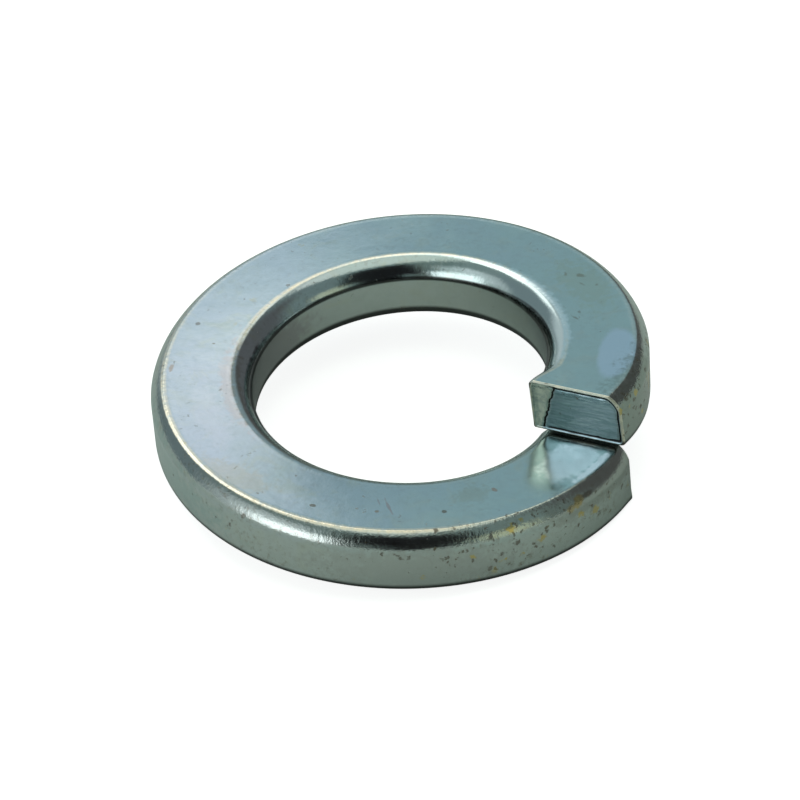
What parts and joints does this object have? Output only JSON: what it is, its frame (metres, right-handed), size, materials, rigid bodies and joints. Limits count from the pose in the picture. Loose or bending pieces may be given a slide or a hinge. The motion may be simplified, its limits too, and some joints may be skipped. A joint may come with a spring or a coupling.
{
  "type": "spring lock washer",
  "caption": "Split spring lock washer: one left-hand coil of rounded rectangular steel wire with two sheared ends, for a right-hand M10 screw.",
  "frame": {"origin": "on the bore axis, level with the underside of the lower sheared end", "axes": "+Z along the bore axis, from the lower end towards the raised upper end; the split lies in the +X -Y quarter"},
  "size_m": [0.0172, 0.0172, 0.0045],
  "materials": {
    "zinc": "bright zinc plate, bluish grey, with small yellow-brown specks"
  },
  "bodies": {
    "root": {"lock_washer": "zinc"}
  },
  "joints": []
}
